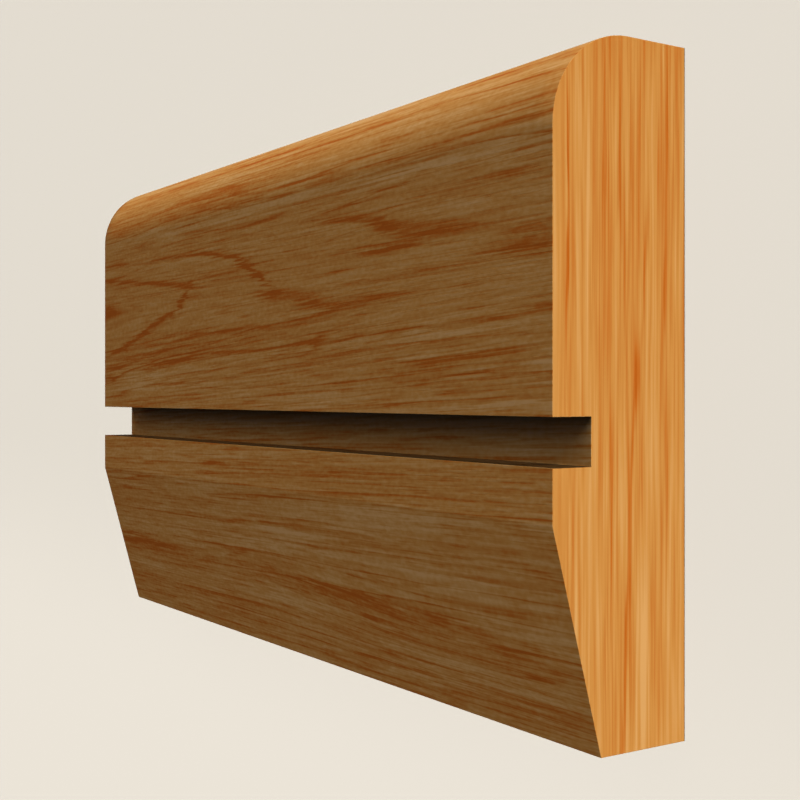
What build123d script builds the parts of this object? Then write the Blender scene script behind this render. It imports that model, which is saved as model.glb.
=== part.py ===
from build123d import *
from math import radians, tan
import os

# Dado rail: one length of moulded timber, lying on its flat back as it would on a floor.
# X runs along the rail, +Y points to the edge that is uppermost on a wall,
# and +Z points out of the wall, from the flat back to the moulded face.
# The origin is the centre of the back.

# Driving dimensions, in millimetres and degrees
rail_length = 123.0
rail_height = 73.0
rail_thickness = 18.0
top_round_radius = 10.0
groove_width = 5.0
groove_depth = 5.0
lower_flat_height = 5.7
bevel_height = 23.6
bevel_angle = 15.0

# Places that follow from them
top_edge = rail_height / 2
bottom_edge = -rail_height / 2
bevel_top = bottom_edge + bevel_height
bevel_inset = bevel_height * tan(radians(bevel_angle))
groove_bottom = bevel_top + lower_flat_height
groove_centre = groove_bottom + groove_width / 2


def blank_outline():
    """The planed section with its bevelled lower face, before the edge is rounded and the groove is run."""
    return make_face(
        Polyline(
            (bottom_edge, 0),
            (bottom_edge, rail_thickness - bevel_inset),
            (bevel_top, rail_thickness),
            (top_edge, rail_thickness),
            (top_edge, 0),
            close=True,
        )
    )


def groove_cut():
    """The square groove, as deep below the face as the cutter stands above it."""
    return Pos(groove_centre, rail_thickness) * Rectangle(groove_width, 2 * groove_depth)


def rail_section():
    """The moulded section, with Y up the wall and Z out of it as its own two axes."""
    outline = blank_outline()
    face_corners = outline.vertices().group_by(Axis.Y)[-1]
    top_face_corner = face_corners.sort_by(Axis.X)[-1]
    return fillet(top_face_corner, radius=top_round_radius) - groove_cut()


def dado_rail():
    """The section run straight along the rail, with both ends cut square."""
    return extrude(Plane.YZ * rail_section(), amount=rail_length / 2, both=True)


os.makedirs("parts", exist_ok=True)
export_step(dado_rail(), "parts/dado_rail.step")
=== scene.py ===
from collections import namedtuple
from math import atan2, cos, pi, radians, sin, tan

import bmesh
import bpy
from mathutils import Matrix, Vector


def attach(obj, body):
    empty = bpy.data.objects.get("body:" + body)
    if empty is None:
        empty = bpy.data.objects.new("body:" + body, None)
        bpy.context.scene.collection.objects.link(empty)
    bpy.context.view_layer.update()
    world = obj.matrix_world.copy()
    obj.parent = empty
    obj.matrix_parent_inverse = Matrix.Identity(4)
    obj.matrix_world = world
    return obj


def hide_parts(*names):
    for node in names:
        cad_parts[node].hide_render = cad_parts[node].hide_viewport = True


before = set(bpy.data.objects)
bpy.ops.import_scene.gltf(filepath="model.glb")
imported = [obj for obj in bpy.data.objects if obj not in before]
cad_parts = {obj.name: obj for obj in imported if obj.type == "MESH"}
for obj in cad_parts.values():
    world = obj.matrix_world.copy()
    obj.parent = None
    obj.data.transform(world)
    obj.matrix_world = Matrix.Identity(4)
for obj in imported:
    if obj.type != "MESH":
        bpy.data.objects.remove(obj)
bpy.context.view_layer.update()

MM = 0.001

# Section of the rail, in millimetres and degrees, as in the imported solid
RAIL_LENGTH = 123.0
RAIL_HEIGHT = 73.0
RAIL_THICKNESS = 18.0
TOP_ROUND_RADIUS = 10.0
GROOVE_WIDTH = 5.0
GROOVE_DEPTH = 5.0
LOWER_FLAT_HEIGHT = 5.7
BEVEL_HEIGHT = 23.6
BEVEL_ANGLE = 15.0

# Finish of the edges and fineness of the mesh
ARRIS_RADIUS = 0.05
END_ARRIS = 0.04
ROUND_STEPS = 28
ARRIS_STEPS = 3
LENGTH_STEP = 3.0

# Oak tones from the darkest streak to the lightest fibre
OAK_TONES = (
    (0.00, (0.488, 0.116, 0.0095, 1.0)),
    (0.10, (0.516, 0.137, 0.0140, 1.0)),
    (0.22, (0.536, 0.161, 0.0225, 1.0)),
    (0.385, (0.558, 0.211, 0.0414, 1.0)),
    (0.50, (0.580, 0.248, 0.0560, 1.0)),
    (0.615, (0.612, 0.281, 0.0700, 1.0)),
    (0.78, (0.644, 0.328, 0.1060, 1.0)),
    (0.90, (0.679, 0.362, 0.1300, 1.0)),
    (1.00, (0.700, 0.390, 0.1600, 1.0)),
)
OAK_IOR = 1.5
BUMP_STRENGTH = 0.35
BUMP_DEPTH = 0.03
Gloss = namedtuple("Gloss", "rough_dark rough_light specular")
SATIN = Gloss(0.62, 0.52, 0.10)
SAWN = Gloss(0.85, 0.75, 0.05)

# Growth rings, in millimetres: their flames on the face and the dark line of each ring
RING_SPACING = 1.25
RING_RISE = (0.0, 0.10)
RING_FALL = (0.10, 0.38)
RING_CLEAR = (2.0, 7.0)
RING_PATCH_LEVEL = (-0.20, 0.40)
RING_PATCH_DRIFT = 0.06
PITH_DRIFT = 1.24
PITH_DEPTH = 24.0
FLAME_AXIS = 14.75
FLAME_SPREAD = 0.86
FLAME_REACH = (6.0, 22.0)
FLAME_WANDER = 1.15
FLAME_WANDER_LENGTH = 67.0
FLAME_WANDER_START = 35.0

# How the fibres under the flames' axis lean up to it, and sag at the rail's lower right corner
LEAN = 0.85
LEAN_REACH = 8.0
SAG = 2.6
SAG_ALONG = (52.0, 104.0)
SAG_DOWN = (54.0, 63.0, 74.0)

# Layers of grain: length along the fibres and width across them in millimetres, strength, detail, seed
Layer = namedtuple("Layer", "length width strength detail seed")
RING_WAVER = Layer(60.0, 2.6, 1.30, 1.0, 5.0)
RING_FRAY = Layer(12.0, 0.40, 0.28, 1.0, 18.0)
RING_PATCH = Layer(60.0, 1.5, 1.0, 1.0, 9.0)
TEETH = Layer(9.0, 0.40, 5.0, 1.0, 2.0)
BAND = Layer(60.0, 3.2, 0.38, 1.0, 4.0)
STREAK = Layer(28.0, 0.60, 0.50, 2.0, 1.0)
DASH = Layer(34.0, 0.46, 1.0, 1.0, 12.0)
FINE_DASH = Layer(9.0, 0.34, 1.0, 1.0, 15.0)
FIBRE = Layer(7.2, 0.42, 0.40, 1.0, 0.0)
PORE = Layer(3.6, 0.18, 1.0, 1.0, 3.0)
GRIT = Layer(0.95, 0.50, 0.26, 1.0, 22.0)
END_WAVER = Layer(40.0, 6.0, 0.24, 1.0, 2.0)
END_FRAY = Layer(14.0, 0.6, 0.55, 1.0, 7.0)
END_WIDE = Layer(70.0, 2.9, 0.25, 1.0, 5.0)
END_STREAK = Layer(32.0, 0.72, 0.31, 1.0, 21.0)
END_FINE = Layer(18.0, 0.40, 0.46, 1.0, 3.0)
END_HAIR = Layer(8.0, 0.21, 0.11, 1.0, 6.0)

# Noise levels between which a layer's dashes and pores fade in
DASH_LEVEL = (0.10, 0.30)
FINE_DASH_LEVEL = (0.10, 0.34)
PORE_LEVEL = (0.30, 0.55)
TEETH_LEVEL = (-0.25, 0.25)

# Zones of the face: the millimetres down from the top edge, or in from the face, where each starts or ends
FLAT_STARTS = (7.0, 13.0)
FLAME_STARTS = (10.0, 15.0)
FLAME_ENDS = (25.0, 32.0)
LOWER_STARTS = (38.0, 46.0)
ROUND_ENDS = (11.0, 14.0)
ROUND_ENDS_DEPTH = (6.0, 10.0)

# How much of the soft and of the fine grain shows on the round, what each zone adds to that, and how much
# shorter the fine grain is on the lower face
Zones = namedtuple("Zones", "flat flame lower")
Share = namedtuple("Share", "on_round flat flame lower")
SOFT_SHARE = Share(0.85, 0.15, -0.48, -0.30)
FINE_SHARE = Share(0.80, 0.20, -0.25, -0.10)
LOWER_SHORTENING = 0.3

# Tone of the face from 0 to 1, its rise along the rail, and what each kind of grain takes from it or cuts in
FACE_TONE = 0.65
TONE_RISE = 0.0009
TONE_MIDDLE = 70.0
LOWER_RISE_LOSS = 0.5
RING_DARK = 0.46
MARK_DARK = 1.1
PORE_DARK = 0.10
DASH_DARK = 0.27
FINE_DASH_DARK = 0.22
DASH_CUT = 0.3
FINE_DASH_CUT = 0.4

# Tone of the ends, which are calmer next to the face
END_TONE = 0.54
END_TONE_RISE = 0.0022
END_LIGHTEST = 0.90
END_MARK_DARK = 1.25
END_MARK_CUT = 0.3
END_CALM = 0.5
END_CALM_DEPTH = (0.8, 2.8)

# Groove: a painted greyer cast added to its red, green and blue, painted shade under its upper side and what
# it takes, painted shade on its lower side, the shelf, darkest in front and at the right end. Places in
# millimetres
GROOVE_PAINTED_GREY = (0.02, 0.15, 0.41)
GROOVE_PAINTED_SHADE_STRENGTH = (0.64, 0.64, 0.58)
GROOVE_PAINTED_SHADE_SPAN = (2.8, 4.9)
GROOVE_LIP = (0.0, 0.03)
GROOVE_TOP_MARGIN = 0.01
GROOVE_FLOOR_MARGIN = 1.0
SHELF_PAINTED_SHADE = 0.86
SHELF_PAINTED_SHADE_FADE = 0.06
SHELF_PAINTED_SHADE_AT_END = 0.04
SHELF_PAINTED_SHADE_END_SPAN = (116.2, 117.6)
SHELF_TOP = (0.005, 0.03)

# Strokes of the figure, in millimetres along the rail from its left end and down from its top edge: dark, or
# light where the strength is negative
Mark = namedtuple("Mark", "along_1 down_1 along_2 down_2 width strength")
CORE_MARKS = (
    Mark(-7.0, 22.2, 6.0, 22.2, 1.0, 0.95),
)
FIRST_FLAME = (
    Mark(-3.0, 16.1, 15.0, 17.7, 0.38, 0.42),
    Mark(7.0, 17.2, 16.0, 17.7, 0.5, 0.20),
    Mark(13.0, 17.7, 30.0, 19.1, 0.36, 0.44),
    Mark(26.0, 18.7, 39.0, 20.2, 0.42, 0.46),
    Mark(31.0, 24.0, 37.5, 19.4, 0.7, 0.50),
    Mark(15.0, 27.0, 36.0, 22.3, 0.50, 0.52),
    Mark(-4.0, 30.8, 21.0, 26.0, 0.46, 0.54),
)
SECOND_FLAME = (
    Mark(-3.0, 14.1, 16.0, 14.4, 0.33, 0.36),
    Mark(20.0, 14.5, 36.0, 14.8, 0.30, 0.34),
    Mark(30.0, 14.6, 47.0, 15.8, 0.34, 0.38),
    Mark(42.0, 15.2, 55.0, 17.3, 0.40, 0.46),
    Mark(51.0, 16.2, 61.0, 20.2, 0.55, 0.52),
    Mark(58.5, 19.0, 64.0, 22.2, 0.6, 0.46),
    Mark(60.0, 22.6, 70.0, 22.9, 0.7, 0.60),
    Mark(70.0, 24.1, 79.0, 24.9, 0.9, 0.46),
    Mark(56.0, 27.7, 75.0, 26.6, 0.34, 0.42),
    Mark(72.0, 26.5, 88.0, 25.1, 0.42, 0.40),
    Mark(84.0, 25.3, 93.0, 25.0, 0.6, 0.38),
    Mark(91.0, 25.2, 99.0, 24.8, 0.42, 0.34),
    Mark(38.0, 27.3, 60.0, 27.1, 0.45, 0.42),
)
THIRD_FLAME = (
    Mark(74.0, 14.1, 88.0, 15.2, 0.42, 0.42),
    Mark(85.0, 14.9, 96.0, 16.9, 0.7, 0.46),
    Mark(92.0, 17.2, 102.0, 17.9, 1.2, 0.36),
    Mark(94.0, 19.0, 111.0, 18.9, 0.6, 0.22),
    Mark(101.0, 18.0, 112.0, 18.5, 0.7, 0.30),
    Mark(88.0, 19.5, 100.0, 19.4, 0.5, 0.52),
    Mark(111.0, 21.4, 123.0, 21.3, 0.6, 0.44),
    Mark(116.0, 20.0, 127.0, 20.3, 0.7, 0.38),
    Mark(118.0, 22.1, 127.0, 22.3, 0.6, 0.34),
)
ROUND_MARKS = (
    Mark(-30.0, 1.0, 110.0, 1.0, 1.1, -0.24),
    Mark(-14.0, 3.4, 75.0, 3.6, 0.8, 0.08),
    Mark(96.0, 2.15, 130.0, 2.0, 0.38, 0.44),
    Mark(92.0, 3.3, 132.0, 3.2, 0.5, -0.08),
    Mark(-30.0, 4.5, 88.0, 5.0, 0.8, -0.13),
    Mark(75.0, 5.3, 150.0, 5.1, 0.7, -0.06),
    Mark(90.0, 4.3, 132.0, 4.1, 1.0, 0.10),
    Mark(-30.0, 6.7, 150.0, 6.6, 0.8, 0.07),
    Mark(-30.0, 9.0, 150.0, 8.9, 0.9, 0.03),
    Mark(16.0, 8.3, 50.0, 8.5, 0.5, 0.12),
    Mark(45.0, 8.8, 64.0, 9.6, 0.4, 0.28),
    Mark(63.0, 9.8, 82.0, 9.6, 0.3, 0.34),
    Mark(71.0, 8.6, 83.0, 8.5, 0.25, 0.26),
    Mark(86.0, 9.4, 112.0, 8.8, 0.4, 0.36),
    Mark(106.0, 8.7, 132.0, 8.6, 0.35, 0.32),
    Mark(14.0, 11.9, 23.0, 11.8, 0.4, 0.34),
    Mark(54.0, 12.6, 67.0, 12.4, 0.25, 0.34),
    Mark(62.0, 12.3, 86.0, 11.3, 0.25, 0.28),
    Mark(118.0, 11.6, 127.0, 11.7, 0.3, 0.34),
    # Painted highlight: the next light stroke, where the round meets the flat face, stands in for light
    # there
    Mark(-30.0, 11.3, 150.0, 11.3, 1.6, -0.14),
    Mark(92.0, 11.2, 122.0, 11.2, 0.7, -0.16),
)
LINES = (
    Mark(-30.0, 36.8, 150.0, 36.8, 1.2, -0.08),
    Mark(-30.0, 40.0, 150.0, 40.0, 0.9, -0.22),
    Mark(-30.0, 45.5, 150.0, 45.5, 1.5, 0.05),
    Mark(-30.0, 50.4, 150.0, 50.4, 1.8, -0.10),
    Mark(75.0, 57.0, 128.0, 57.5, 3.0, -0.10),
    Mark(-30.0, 71.5, 150.0, 71.5, 1.5, 0.07),
    Mark(-30.0, 55.0, 150.0, 55.0, 1.6, -0.07),
    Mark(-30.0, 62.6, 150.0, 63.2, 1.2, 0.085),
    Mark(16.0, 28.9, 46.0, 28.1, 1.2, 0.04),
    Mark(10.0, 31.5, 46.0, 30.0, 1.5, 0.08),
    Mark(-3.0, 32.4, 13.0, 31.3, 0.36, 0.32),
    Mark(-3.0, 34.1, 10.0, 33.1, 0.32, 0.32),
    Mark(20.0, 30.3, 30.0, 29.0, 0.36, 0.34),
    Mark(17.0, 32.7, 25.0, 32.0, 0.30, 0.34),
    Mark(24.0, 31.8, 38.0, 30.7, 0.42, 0.40),
    Mark(57.0, 30.3, 90.0, 29.3, 0.28, 0.28),
    Mark(88.0, 29.3, 112.0, 28.5, 0.32, 0.32),
    Mark(117.0, 27.9, 127.0, 27.7, 0.5, 0.36),
    Mark(42.0, 18.9, 58.0, 18.6, 0.25, 0.28),
    Mark(39.0, 30.3, 64.0, 30.4, 0.28, 0.32),
    Mark(24.0, 34.9, 37.0, 34.6, 0.28, 0.32),
    Mark(82.0, 33.0, 108.0, 32.5, 0.25, 0.20),
    Mark(106.0, 28.8, 119.0, 28.3, 0.28, 0.34),
    Mark(70.0, 21.5, 85.0, 21.2, 0.25, 0.28),
    Mark(84.0, 22.9, 103.0, 22.6, 0.25, 0.30),
    Mark(80.0, 13.5, 91.0, 13.0, 0.28, 0.36),
    Mark(103.0, 14.3, 127.0, 14.0, 0.40, 0.30),
    Mark(40.0, 46.8, 49.0, 46.5, 0.28, 0.72),
    Mark(-6.0, 61.5, 25.0, 62.0, 1.4, 0.24),
    Mark(40.0, 59.8, 55.0, 59.6, 0.6, 0.20),
    Mark(57.0, 61.9, 87.0, 62.2, 1.1, 0.28),
    Mark(83.0, 62.0, 93.0, 63.6, 0.6, 0.22),
    Mark(76.0, 63.6, 93.0, 65.6, 0.5, 0.26),
    Mark(92.0, 62.0, 110.0, 63.0, 0.8, 0.30),
    Mark(106.0, 64.2, 117.0, 64.4, 0.7, 0.26),
    Mark(107.0, 66.2, 121.0, 66.3, 0.6, 0.28),
    Mark(113.0, 54.0, 123.0, 54.3, 0.8, 0.24),
    Mark(71.0, 56.0, 89.0, 54.8, 0.45, 0.24),
    Mark(-6.0, 65.9, 32.0, 65.8, 0.7, -0.26),
    Mark(38.0, 65.7, 65.0, 65.3, 0.5, -0.18),
    Mark(58.0, 65.7, 79.0, 64.7, 0.6, -0.20),
    Mark(59.0, 55.1, 81.0, 54.8, 0.4, -0.26),
    Mark(58.0, 60.9, 84.0, 60.6, 0.5, -0.20),
    Mark(109.0, 61.7, 127.0, 61.8, 0.8, -0.24),
)
FACE_MARKS = CORE_MARKS + FIRST_FLAME + SECOND_FLAME + THIRD_FLAME + ROUND_MARKS + LINES
# The same on the ends: up the section from its middle, and in from the face
END_MARKS = (
    Mark(35.0, 1.95, 8.0, 1.9, 0.13, 0.62),
    Mark(32.0, 6.8, 10.0, 6.8, 0.16, 0.26),
    Mark(32.0, 8.9, 10.0, 8.8, 0.20, 0.30),
    Mark(46.0, 0.5, -6.0, 0.5, 1.0, -0.15),
    Mark(40.0, 15.4, 23.0, 15.3, 0.26, 0.20),
    Mark(16.0, 15.3, 6.0, 15.2, 0.24, 0.24),
    Mark(24.0, 15.3, -16.0, 15.3, 0.26, 0.08),
    Mark(20.0, 12.8, 6.0, 11.8, 0.22, 0.30),
    Mark(5.0, 11.3, -2.0, 11.1, 0.34, 0.42),
    Mark(0.0, 10.6, -13.0, 10.3, 0.24, 0.44),
    Mark(-17.0, 10.0, -30.0, 9.8, 0.30, 0.44),
    Mark(-26.0, 9.5, -37.0, 9.3, 0.26, 0.30),
    Mark(-2.0, 7.7, -26.0, 7.6, 0.24, 0.22),
    Mark(-14.0, 13.4, -40.0, 13.3, 0.30, 0.24),
    Mark(28.0, 4.5, 4.0, 4.4, 0.50, -0.08),
    Mark(-5.0, 9.1, -18.0, 9.0, 0.28, -0.22),
    Mark(-18.0, 12.3, -40.0, 12.2, 0.36, -0.20),
)

# How ragged the strokes are, how fibres break them up, and where they fade: by depth and on the lower face
MARK_LEAST = 0.72
MARK_RAGGED = 0.76
MARK_FIBRE = 0.7
MARK_DEPTH = (9.0, 12.0)
MARK_LOWER_LOSS = 0.12

# Floor and backdrop, in metres. The floor has painted light, a little lighter toward the lower edge of the
# picture
FLOOR_RADIUS = 4.0
FLOOR_SEGMENTS = 96
FLOOR_GAP = 0.00001
FLOOR_COLOUR = (0.040, 0.0373, 0.0328)
FLOOR_PAINTED_LIGHT = 0.085
FLOOR_PAINTED_LIGHT_SPAN = (0.004, 0.060)
BACKDROP_SEGMENTS = (48, 24)
BACKDROP_COLOUR = (0.77, 0.72, 0.63, 1.0)

# Lights: the side that each comes from, its strength, its spread in degrees and its colour
Sun = namedtuple("Sun", "name from_side irradiance spread colour")
FILL_TILT = radians(48.0)
KEY = Sun("key", (0.84, 0.81, 0.02), 0.88, 2.0, (1.0, 0.95, 0.78))
FILL = Sun("fill", (0.0, sin(FILL_TILT), cos(FILL_TILT)), 0.335, 64.0, (1.0, 0.985, 0.94))
RIM = Sun("rim", (-0.75, -0.65, 0.05), 0.34, 20.0, (0.935, 1.0, 1.05))
FLOOR_WASH = Sun("floor_wash", (0.0, 0.0, 1.0), 18.90, 1.0, (1.0, 1.0, 1.0))
WORLD_COLOUR = (0.95, 0.97, 1.0, 1.0)
WORLD_STRENGTH = 0.05

# Camera, as read from the photograph's perspective: place and lens in millimetres, turn in degrees
CAMERA_PLACE = (158.475, 0.039, 99.204)
CAMERA_YAW = 33.181
CAMERA_LENS = 57.886
CAMERA_SENSOR = 36.0
CAMERA_SHIFT_Y = -0.00728
CAMERA_CLIP = (0.005, 50.0)


class Field:
    """A value of a shader tree that formulas can be written with."""

    def __init__(self, tree, socket):
        self.tree = tree
        self.socket = socket

    def math(self, operation, *others):
        node = self.tree.nodes.new("ShaderNodeMath")
        node.operation = operation
        for slot, value in zip(node.inputs, (self, *others)):
            join(self.tree, slot, value)
        return Field(self.tree, node.outputs[0])

    def __add__(self, other):
        return self.math("ADD", other)

    def __sub__(self, other):
        return self.math("SUBTRACT", other)

    def __mul__(self, other):
        return self.math("MULTIPLY", other)

    def __truediv__(self, other):
        return self.math("DIVIDE", other)

    __radd__ = __add__
    __rmul__ = __mul__

    def __rsub__(self, other):
        return (self * -1.0) + other

    def __abs__(self):
        return self.math("ABSOLUTE")

    def sqrt(self):
        return self.math("SQRT")

    def cos(self):
        return self.math("COSINE")

    def exp(self):
        return self.math("EXPONENT")

    def fraction(self):
        return self.math("FRACT")

    def scaled(self, factor, offset):
        return self.math("MULTIPLY_ADD", factor, offset)

    def over(self, limit):
        """The value, or the limit where that is more."""
        return self.math("MAXIMUM", limit)

    def under(self, limit):
        """The value, or the limit where that is less."""
        return self.math("MINIMUM", limit)

    def is_over(self, limit):
        """1 above the limit, 0 below it."""
        return self.math("GREATER_THAN", limit)

    def is_under(self, limit):
        """1 below the limit, 0 above it."""
        return self.math("LESS_THAN", limit)

    def step(self, low, high):
        """Rises smoothly from 0 at low to 1 at high."""
        node = self.tree.nodes.new("ShaderNodeMapRange")
        node.interpolation_type = "SMOOTHSTEP"
        for name, value in zip(("Value", "From Min", "From Max"), (self, low, high)):
            join(self.tree, node.inputs[name], value)
        return Field(self.tree, node.outputs[0])


def join(tree, slot, value):
    """Sets a node's input to a number, or links it to a field."""
    if isinstance(value, Field):
        tree.links.new(value.socket, slot)
    else:
        slot.default_value = value


def noise(x, y, z, detail):
    """Smooth noise between -1 and 1, mostly near 0, over three fields or numbers."""
    tree = next(f.tree for f in (x, y, z) if isinstance(f, Field))
    place = tree.nodes.new("ShaderNodeCombineXYZ")
    for slot, value in zip(place.inputs, (x, y, z)):
        join(tree, slot, value)
    node = tree.nodes.new("ShaderNodeTexNoise")
    tree.links.new(place.outputs[0], node.inputs["Vector"])
    node.inputs["Scale"].default_value = 1.0
    node.inputs["Detail"].default_value = detail
    return Field(tree, node.outputs["Fac"]) * 2.0 - 1.0


def object_place(tree):
    """Place in the object's own metres, along its three axes."""
    place = tree.nodes.new("ShaderNodeTexCoord")
    parts = tree.nodes.new("ShaderNodeSeparateXYZ")
    tree.links.new(place.outputs["Object"], parts.inputs[0])
    return [Field(tree, s) for s in parts.outputs]


def rail_place(tree):
    """Place on the rail in millimetres: along it, up the wall, and below the face."""
    x, y, z = (f * (1.0 / MM) for f in object_place(tree))
    return x, y, RAIL_THICKNESS - z


def mixed_colour(tree, shares):
    """Socket with the colour of three shares, fields or numbers."""
    node = tree.nodes.new("ShaderNodeCombineColor")
    for slot, share in zip(node.inputs, shares):
        join(tree, slot, share)
    return node.outputs[0]


def new_material(name):
    material = bpy.data.materials.new(name)
    material.use_nodes = True
    material.node_tree.nodes.clear()
    return material


def show(tree, shader):
    """Makes a shader the surface of its material."""
    output = tree.nodes.new("ShaderNodeOutputMaterial")
    tree.links.new(shader.outputs[0], output.inputs["Surface"])


def oak_colour(tone, tint):
    """Socket with a tone's colour, from 0, the darkest streak, to 1, the lightest fibre, times a tint."""
    tree = tone.tree
    ramp = tree.nodes.new("ShaderNodeValToRGB")
    stops = ramp.color_ramp.elements
    stops[0].position, stops[0].color = OAK_TONES[0]
    stops[1].position, stops[1].color = OAK_TONES[-1]
    for position, colour in OAK_TONES[1:-1]:
        stops.new(position).color = colour
    tree.links.new(tone.socket, ramp.inputs[0])
    # Multiplies in the tint: on the long faces the groove's painted shade and painted greyer cast, 1 on the
    # ends
    painted_shade_mix = tree.nodes.new("ShaderNodeMix")
    painted_shade_mix.data_type = "RGBA"
    painted_shade_mix.blend_type = "MULTIPLY"
    painted_shade_mix.inputs["Factor"].default_value = 1.0
    tree.links.new(ramp.outputs[0], painted_shade_mix.inputs["A"])
    tree.links.new(mixed_colour(tree, tint), painted_shade_mix.inputs["B"])
    return painted_shade_mix.outputs["Result"]


def oak_shader(tone, relief, tint, gloss):
    """Oak with a low gloss, coloured by tone and tint, its fibres and pores cut in by relief."""
    tree = tone.tree
    bump = tree.nodes.new("ShaderNodeBump")
    bump.inputs["Strength"].default_value = BUMP_STRENGTH
    bump.inputs["Distance"].default_value = BUMP_DEPTH * MM
    tree.links.new(relief.socket, bump.inputs["Height"])

    shader = tree.nodes.new("ShaderNodeBsdfPrincipled")
    tree.links.new(oak_colour(tone, tint), shader.inputs["Base Color"])
    tree.links.new(bump.outputs[0], shader.inputs["Normal"])
    rough = gloss.rough_dark + (gloss.rough_light - gloss.rough_dark) * tone
    tree.links.new(rough.socket, shader.inputs["Roughness"])
    shader.inputs["IOR"].default_value = OAK_IOR
    shader.inputs["Specular IOR Level"].default_value = gloss.specular
    show(tree, shader)


def oak(name, grain, gloss):
    material = new_material(name)
    oak_shader(*grain(material.node_tree), gloss)
    return material


def layer_noise(layer, along, across, depth):
    """One layer's noise, times its strength."""
    place = (along / layer.length, across / layer.width, depth / layer.width + layer.seed)
    return layer.strength * noise(*place, layer.detail)


def mark_darkness(marks, along, down):
    """Sum of soft strokes, each strongest in the middle and fading to its sides and ends."""
    total = 0.0
    for m in marks:
        slope = (m.down_2 - m.down_1) / (m.along_2 - m.along_1)
        middle = (m.along_1 + m.along_2) / 2
        reach = (m.along_2 - m.along_1) / 2
        start = (m.down_1 + m.down_2) / 2 - slope * middle
        u = along.scaled(1.0 / reach, -middle / reach)
        v = (down - along * slope).scaled(1.0 / m.width, -start / m.width)
        total = total + m.strength * bell(u, v)
    return total


def bell(u, v):
    """1 where u and v are 0, falling to 0 far from there."""
    return ((u * u + v * v) * -1.0).exp()


# Place on the long faces: on the rail, and among the fibres by the line they run on and their depth
Place = namedtuple("Place", "x y along down depth line core")


def face_place(tree):
    x, y, depth = rail_place(tree)
    along = x + RAIL_LENGTH / 2
    down = RAIL_HEIGHT / 2 - y
    return Place(x, y, along, down, depth, fibre_line(along, y, down), grain_depth(down, depth))


def fibre_line(along, y, down):
    """Height at which a fibre runs, the same all along it."""
    aside = (y - FLAME_AXIS).under(0.0)
    lean = LEAN * (along - RAIL_LENGTH / 2) * aside / (aside * aside + LEAN_REACH ** 2)
    first, middle, last = SAG_DOWN
    sag = SAG * along.step(*SAG_ALONG) * down.step(first, middle) * (1.0 - down.step(middle, last))
    return y + lean + sag


def grain_depth(down, depth):
    """Depth that the grain goes by: none in the top round, where it is drawn straight back from the face."""
    in_round = (1.0 - down.step(*ROUND_ENDS)) * (1.0 - depth.step(*ROUND_ENDS_DEPTH))
    return depth * (1.0 - in_round)


def face_zones(down):
    """How far a place is on the flat, among the flames and on the lower face, each from 0 to 1."""
    flat = down.step(*FLAT_STARTS)
    flame = down.step(*FLAME_STARTS) * (1.0 - down.step(*FLAME_ENDS))
    return Zones(flat, flame, down.step(*LOWER_STARTS))


def zone_share(share, zone):
    """How much of a kind of grain shows at a place."""
    return share.on_round + share.flat * zone.flat + share.flame * zone.flame + share.lower * zone.lower


def growth(at):
    """Distance across the growth rings, in millimetres, and distance from the flames' axis."""
    near = 1.0 - abs(at.y - FLAME_AXIS).step(*FLAME_REACH)
    turn_along = (at.along - FLAME_WANDER_START) * (2 * pi / FLAME_WANDER_LENGTH)
    aside = at.y - FLAME_AXIS - FLAME_WANDER * near * turn_along.cos()
    under = FLAME_SPREAD * aside.under(0.0)
    leg = (under * under + PITH_DRIFT * at.along.over(0.0) + PITH_DEPTH * at.core).sqrt()
    waver = layer_noise(RING_WAVER, at.x, at.y, at.core)
    return leg * aside.is_under(0.0) + aside.over(0.0) + waver, aside


def ring_lines(at):
    """Darkness of the rings' lines, which come and go along the rail and keep clear of the flames' axis."""
    rings, aside = growth(at)
    fray = layer_noise(RING_FRAY, at.x, at.line, at.core)
    turn = ((rings + fray) / RING_SPACING).fraction()
    patch = layer_noise(RING_PATCH, at.x, rings, at.y * RING_PATCH_DRIFT).step(*RING_PATCH_LEVEL)
    line = turn.step(*RING_RISE) * (1.0 - turn.step(*RING_FALL))
    return line * patch * abs(aside).step(*RING_CLEAR)


def figure(at, lower, fibre):
    """Darkness of the figure's strokes, ragged along the fibres."""
    teeth = layer_noise(TEETH, at.x, at.line, at.core)
    mark = mark_darkness(FACE_MARKS, at.along + teeth, at.down)
    ragged = MARK_LEAST + MARK_RAGGED * (teeth / TEETH.strength).step(*TEETH_LEVEL)
    broken = 1.0 - MARK_FIBRE / FIBRE.strength * fibre
    return mark * ragged * broken * (1.0 - at.depth.step(*MARK_DEPTH)) * (1.0 - MARK_LOWER_LOSS * lower)


def face_grain(tree):
    """Tone, relief and tint of the long faces: flames where the rings come up, and fibres along the rail."""
    at = face_place(tree)
    zone = face_zones(at.down)
    fine_x = at.x * (1.0 + LOWER_SHORTENING * zone.lower)
    band = layer_noise(BAND, at.x, at.line, at.core)
    streak = layer_noise(STREAK, at.x, at.line, at.core)
    dash = layer_noise(DASH, at.x, at.line, at.core).step(*DASH_LEVEL)
    fine_dash = layer_noise(FINE_DASH, fine_x, at.line, at.core).step(*FINE_DASH_LEVEL)
    fibre = layer_noise(FIBRE, fine_x, at.line, at.core)
    pore = layer_noise(PORE, at.x, at.line, at.core).step(*PORE_LEVEL)
    grit = layer_noise(GRIT, at.x, at.line, at.depth)

    soft = zone_share(SOFT_SHARE, zone) * (band + streak)
    fine = zone_share(FINE_SHARE, zone) * (fibre - DASH_DARK * dash - FINE_DASH_DARK * fine_dash)
    dark = RING_DARK * ring_lines(at) + MARK_DARK * figure(at, zone.lower, fibre) + PORE_DARK * pore
    rise = TONE_RISE * (at.along - TONE_MIDDLE) * (1.0 - LOWER_RISE_LOSS * zone.lower)
    tone = FACE_TONE + rise + soft + fine + grit - dark
    relief = fibre - pore - FINE_DASH_CUT * fine_dash - DASH_CUT * dash
    # The tint carries the groove's painted shade and painted greyer cast
    return tone, relief, groove_painted_shade(at)


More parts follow.
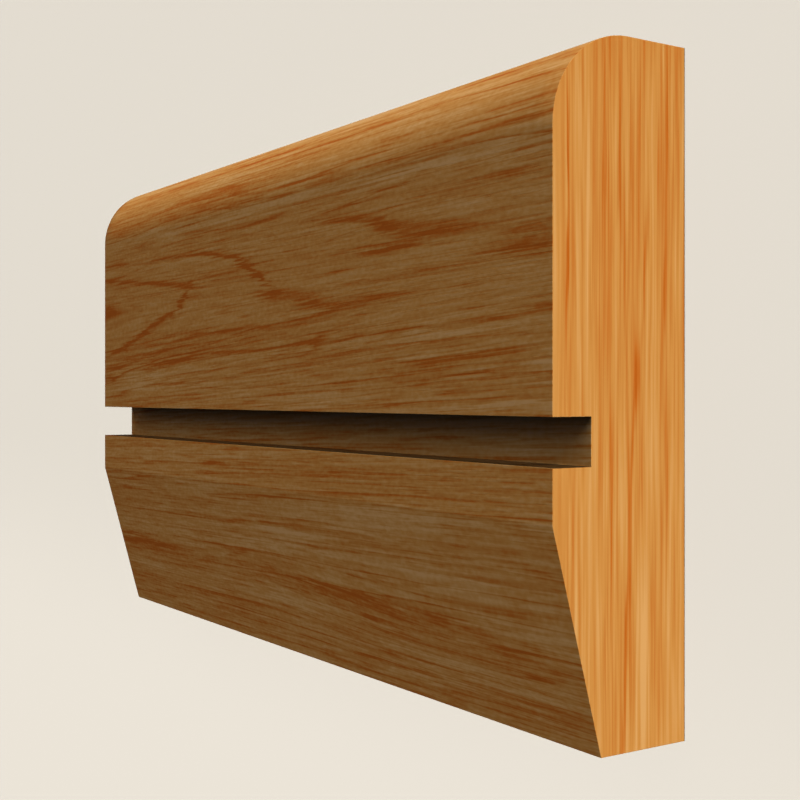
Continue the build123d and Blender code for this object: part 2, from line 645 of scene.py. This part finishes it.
def groove_painted_shade(at):
    """Shares of red, green and blue: 1 outside the groove; inside it a painted greyer cast, and painted
    shade at its sides.
    """
    low = -RAIL_HEIGHT / 2 + BEVEL_HEIGHT + LOWER_FLAT_HEIGHT
    high = low + GROOVE_WIDTH
    between = at.y.is_over(low - ARRIS_RADIUS) * at.y.is_under(high + GROOVE_TOP_MARGIN)
    behind = at.depth.step(*GROOVE_LIP) * at.depth.is_under(GROOVE_DEPTH + GROOVE_FLOOR_MARGIN)
    inside = between * behind
    # Painted shade on the groove's back wall under its upper side
    painted_shade = at.y.step(*(low + up for up in GROOVE_PAINTED_SHADE_SPAN))
    # Painted shade on the shelf, the groove's lower side
    on_shelf = inside * (1.0 - at.y.step(*(low + up for up in SHELF_TOP)))
    # More painted shade on the shelf near the right end, where the key light falls into the groove
    at_end = at.along.step(*SHELF_PAINTED_SHADE_END_SPAN)
    shelf_painted_shade = SHELF_PAINTED_SHADE + SHELF_PAINTED_SHADE_AT_END * at_end - SHELF_PAINTED_SHADE_FADE * at.depth * (1.0 - at_end)
    kept = 1.0 - shelf_painted_shade * on_shelf
    return [(1.0 + inside * (g - d * painted_shade * painted_shade)) * kept for g, d in zip(GROOVE_PAINTED_GREY, GROOVE_PAINTED_SHADE_STRENGTH)]


def end_grain(tree):
    """Tone, relief and tint of the sawn ends: the rings cut across, as streaks that run up the section."""
    _, y, depth = rail_place(tree)
    across = depth + layer_noise(END_WAVER, y, depth, 0.0)
    wide = layer_noise(END_WIDE, y, across, 0.0)
    streak = layer_noise(END_STREAK, y, across, 0.0)
    fine = layer_noise(END_FINE, y, across, 0.0) + layer_noise(END_HAIR, y, across, 0.0)
    mark = mark_darkness(END_MARKS, y, depth + layer_noise(END_FRAY, y, depth, 0.0))
    calm = END_CALM + (1.0 - END_CALM) * depth.step(*END_CALM_DEPTH)
    tone = END_TONE - END_TONE_RISE * y + wide + calm * (streak + fine) - END_MARK_DARK * mark
    relief = fine - END_MARK_CUT * mark
    return tone.under(END_LIGHTEST), relief, (1.0, 1.0, 1.0)


def section_corners():
    """Corners of the section as (up the wall, out of the wall, radius), round from the lower back edge."""
    low = -RAIL_HEIGHT / 2
    high = RAIL_HEIGHT / 2
    bevel_top = low + BEVEL_HEIGHT
    groove_low = bevel_top + LOWER_FLAT_HEIGHT
    groove_high = groove_low + GROOVE_WIDTH
    face = RAIL_THICKNESS
    groove_floor = face - GROOVE_DEPTH
    bevel_foot = face - BEVEL_HEIGHT * tan(radians(BEVEL_ANGLE))
    return (
        (low, 0.0, ARRIS_RADIUS),
        (high, 0.0, ARRIS_RADIUS),
        (high, face, TOP_ROUND_RADIUS),
        (groove_high, face, ARRIS_RADIUS),
        (groove_high, groove_floor, ARRIS_RADIUS),
        (groove_low, groove_floor, ARRIS_RADIUS),
        (groove_low, face, ARRIS_RADIUS),
        (bevel_top, face, ARRIS_RADIUS),
        (low, bevel_foot, ARRIS_RADIUS),
    )


def section_outline(inset):
    """Points round the section, drawn in by inset, each with a mark that says whether a curve leaves it."""
    corners = section_corners()
    points = []
    for k, (up, out, radius) in enumerate(corners):
        corner = Vector((up, out))
        before = (corner - Vector(corners[k - 1][:2])).normalized()
        after = (Vector(corners[(k + 1) % len(corners)][:2]) - corner).normalized()
        turn = atan2(before.x * after.y - before.y * after.x, before.dot(after))
        inward = Vector((-before.y - after.y, before.x + after.x)) / (1.0 + before.dot(after))
        corner = corner + inset * inward
        side = 1.0 if turn > 0 else -1.0
        bend = radius - side * inset
        start = corner - before * bend * tan(abs(turn) / 2)
        centre = start + side * bend * Vector((-before.y, before.x))
        steps = ROUND_STEPS if radius == TOP_ROUND_RADIUS else ARRIS_STEPS
        spoke = start - centre
        for n in range(steps + 1):
            arm = Matrix.Rotation(turn * n / steps, 2) @ spoke
            points.append((centre + arm, n < steps))
    return points


def stations():
    """Places along the rail, from end to end, each with how far the section is drawn in there."""
    half = RAIL_LENGTH / 2
    turns = [pi / 2 * n / ARRIS_STEPS for n in range(ARRIS_STEPS + 1)]
    arris = [(END_ARRIS * (1 - sin(t)), END_ARRIS * (1 - cos(t))) for t in turns]
    run = RAIL_LENGTH - 2 * END_ARRIS
    count = round(run / LENGTH_STEP)
    left = [(-half + along, inset) for along, inset in reversed(arris)]
    middle = [(-half + END_ARRIS + run * n / count, 0.0) for n in range(1, count)]
    right = [(half - along, inset) for along, inset in arris]
    return left + middle + right


def rail_mesh():
    """The rail with its arrises eased: long faces in the first material and the two ends in the second."""
    bm = bmesh.new()
    rings = []
    for x, inset in stations():
        outline = section_outline(inset)
        rings.append([bm.verts.new(Vector((x, p.x, p.y)) * MM) for p, _ in outline])
    curved = [mark for _, mark in section_outline(0.0)]
    count = len(curved)
    for ring, following in zip(rings, rings[1:]):
        for k in range(count):
            j = (k + 1) % count
            quad = bm.faces.new((ring[k], ring[j], following[j], following[k]))
            quad.smooth = curved[k]
    for ring in (list(reversed(rings[0])), rings[-1]):
        bm.faces.new(ring).material_index = 1
    bmesh.ops.recalc_face_normals(bm, faces=bm.faces)
    mesh = bpy.data.meshes.new("dado_rail_oak")
    bm.to_mesh(mesh)
    bm.free()
    return mesh


def add_rail():
    rail = bpy.data.objects.new("dado_rail_oak", rail_mesh())
    bpy.context.scene.collection.objects.link(rail)
    rail.data.materials.append(oak("oak_long_grain", face_grain, SATIN))
    rail.data.materials.append(oak("oak_end_grain", end_grain, SAWN))
    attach(rail, "root")
    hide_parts("dado_rail")


def floor_material():
    """Plain paper with painted light, a little lighter toward the lower edge of the picture, where the
    rail's soft shadow falls.
    """
    material = new_material("floor_paper")
    tree = material.node_tree
    _, y, _ = object_place(tree)
    painted_light = 1.0 + FLOOR_PAINTED_LIGHT * (y * -1.0).step(*FLOOR_PAINTED_LIGHT_SPAN)
    shader = tree.nodes.new("ShaderNodeBsdfDiffuse")
    colour = mixed_colour(tree, [painted_light * share for share in FLOOR_COLOUR])
    tree.links.new(colour, shader.inputs["Color"])
    show(tree, shader)
    return material


def backdrop_material():
    material = new_material("backdrop_paper")
    tree = material.node_tree
    shader = tree.nodes.new("ShaderNodeEmission")
    shader.inputs["Color"].default_value = BACKDROP_COLOUR
    show(tree, shader)
    return material


def add_staging(name, bm, material):
    mesh = bpy.data.meshes.new(name)
    bm.to_mesh(mesh)
    bm.free()
    mesh.materials.append(material)
    piece = bpy.data.objects.new(name, mesh)
    bpy.context.scene.collection.objects.link(piece)
    return piece


def add_floor():
    """A plain pale floor under the rail."""
    bm = bmesh.new()
    bmesh.ops.create_circle(bm, cap_ends=True, segments=FLOOR_SEGMENTS, radius=FLOOR_RADIUS)
    floor = add_staging("floor", bm, floor_material())
    floor.location.z = -FLOOR_GAP
    floor.visible_glossy = False
    return floor


def add_backdrop():
    """A pale dome round the floor, seen by the camera and giving no light."""
    bm = bmesh.new()
    around, upward = BACKDROP_SEGMENTS
    bmesh.ops.create_uvsphere(bm, u_segments=around, v_segments=upward, radius=FLOOR_RADIUS)
    dome = add_staging("backdrop", bm, backdrop_material())
    dome.visible_diffuse = False
    dome.visible_glossy = False
    dome.visible_transmission = False
    dome.visible_shadow = False


def add_sun(sun):
    """Parallel light. A surface square to it, of reflectance 1, shows as its irradiance."""
    data = bpy.data.lights.new(sun.name, "SUN")
    data.energy = sun.irradiance * pi
    data.angle = radians(sun.spread)
    data.color = sun.colour
    lamp = bpy.data.objects.new(sun.name, data)
    lamp.rotation_euler = Vector(sun.from_side).to_track_quat("Z", "Y").to_euler()
    bpy.context.scene.collection.objects.link(lamp)
    return lamp


def shine_on(lamp, target):
    """Keeps a light to one object."""
    group = bpy.data.collections.new(lamp.name + "_targets")
    group.objects.link(target)
    lamp.light_linking.receiver_collection = group


def add_lights(floor):
    add_sun(KEY)
    add_sun(FILL)
    add_sun(RIM).visible_glossy = False
    shine_on(add_sun(FLOOR_WASH), floor)


def add_world():
    world = bpy.data.worlds.new("studio")
    world.use_nodes = True
    back = world.node_tree.nodes["Background"]
    back.inputs["Color"].default_value = WORLD_COLOUR
    back.inputs["Strength"].default_value = WORLD_STRENGTH
    bpy.context.scene.world = world


def add_camera():
    """Camera that looks down on the lying rail, with the rail's upper edge toward the top of the picture."""
    data = bpy.data.cameras.new("camera")
    data.sensor_width = CAMERA_SENSOR
    data.lens = CAMERA_LENS
    data.shift_y = CAMERA_SHIFT_Y
    data.clip_start, data.clip_end = CAMERA_CLIP
    camera = bpy.data.objects.new("camera", data)
    turn = radians(CAMERA_YAW)
    right = Vector((sin(turn), 0.0, -cos(turn)))
    up = Vector((0.0, 1.0, 0.0))
    back = Vector((cos(turn), 0.0, sin(turn)))
    matrix = Matrix((right, up, back)).transposed().to_4x4()
    matrix.translation = Vector(CAMERA_PLACE) * MM
    camera.matrix_world = matrix
    bpy.context.scene.collection.objects.link(camera)
    bpy.context.scene.camera = camera


add_rail()
floor = add_floor()
add_backdrop()
add_lights(floor)
add_world()
add_camera()
bpy.context.scene.view_settings.view_transform = "Standard"
